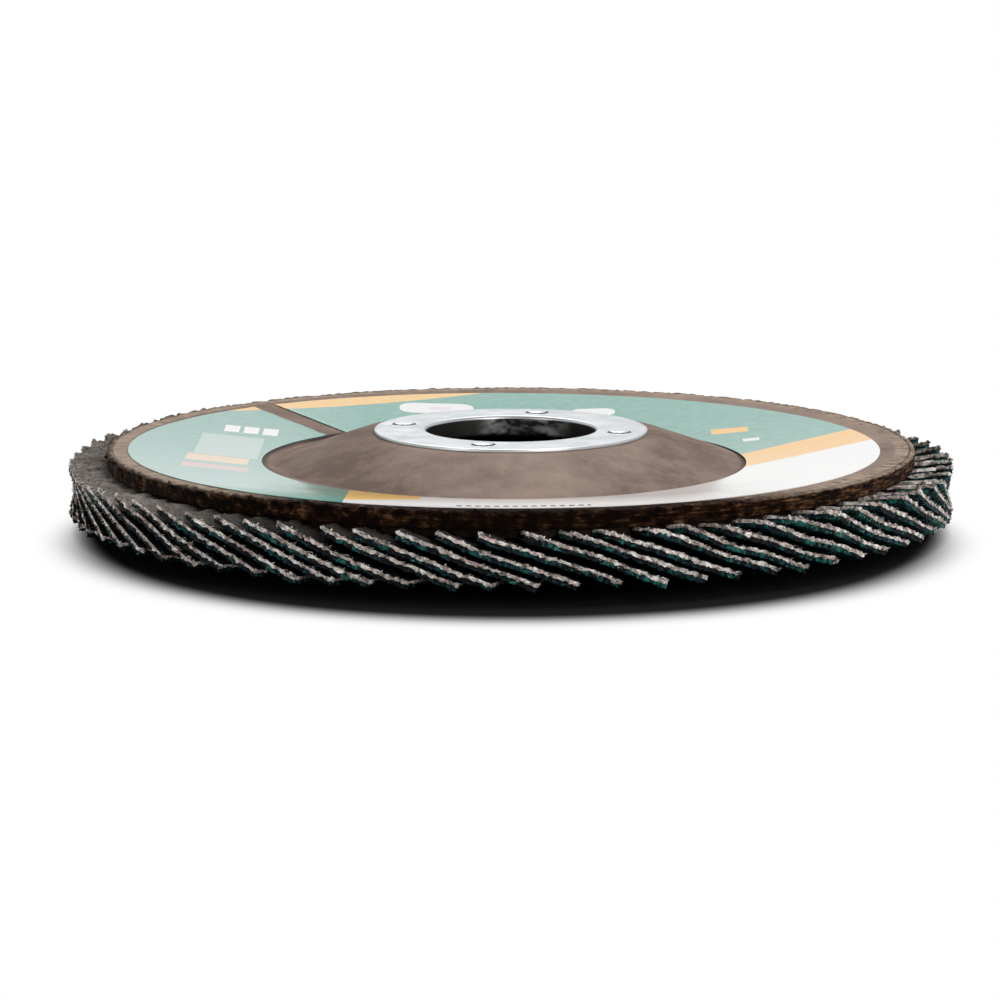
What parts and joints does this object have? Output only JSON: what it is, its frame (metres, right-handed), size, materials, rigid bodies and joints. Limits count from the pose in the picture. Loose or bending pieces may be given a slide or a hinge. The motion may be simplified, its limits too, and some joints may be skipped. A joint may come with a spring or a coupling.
{
  "type": "flap disc",
  "caption": "Conical abrasive flap disc: a fan of leaning abrasive cloth flaps under a raised-hub backing plate with a steel arbor ring and a printed paper label.",
  "frame": {"origin": "on the arbor's axis, at the level of the lowest flap corners, on which the disc rests", "axes": "+Z along the arbor's axis, from the flaps up through the hub; +X and +Y lie in the disc's plane, with the slit in the label in the -X +Y quarter"},
  "size_m": [0.115, 0.115, 0.0129],
  "materials": {
    "plate_laminate": "matte",
    "ring_steel": "satin",
    "label_paper": "satin",
    "bed_resin": "satin",
    "abrasive_cloth": "matte"
  },
  "bodies": {
    "root": {"backing_plate": "plate_laminate", "arbor_ring": "ring_steel", "label": "label_paper", "resin_bed": "bed_resin", "flap_pair_01": "abrasive_cloth", "flap_pair_02": "abrasive_cloth", "flap_pair_03": "abrasive_cloth", "flap_pair_04": "abrasive_cloth", "flap_pair_05": "abrasive_cloth", "flap_pair_06": "abrasive_cloth", "flap_pair_07": "abrasive_cloth", "flap_pair_08": "abrasive_cloth", "flap_pair_09": "abrasive_cloth", "flap_pair_10": "abrasive_cloth", "flap_pair_11": "abrasive_cloth", "flap_pair_12": "abrasive_cloth", "flap_pair_13": "abrasive_cloth", "flap_pair_14": "abrasive_cloth", "flap_pair_15": "abrasive_cloth", "flap_pair_16": "abrasive_cloth", "flap_pair_17": "abrasive_cloth", "flap_pair_18": "abrasive_cloth", "flap_pair_19": "abrasive_cloth", "flap_pair_20": "abrasive_cloth", "flap_pair_21": "abrasive_cloth", "flap_pair_22": "abrasive_cloth", "flap_pair_23": "abrasive_cloth", "flap_pair_24": "abrasive_cloth", "flap_pair_25": "abrasive_cloth", "flap_pair_26": "abrasive_cloth", "flap_pair_27": "abrasive_cloth", "flap_pair_28": "abrasive_cloth", "flap_pair_29": "abrasive_cloth", "flap_pair_30": "abrasive_cloth", "flap_pair_31": "abrasive_cloth", "flap_pair_32": "abrasive_cloth", "flap_pair_33": "abrasive_cloth", "flap_pair_34": "abrasive_cloth", "flap_pair_35": "abrasive_cloth", "flap_pair_36": "abrasive_cloth"}
  },
  "joints": []
}
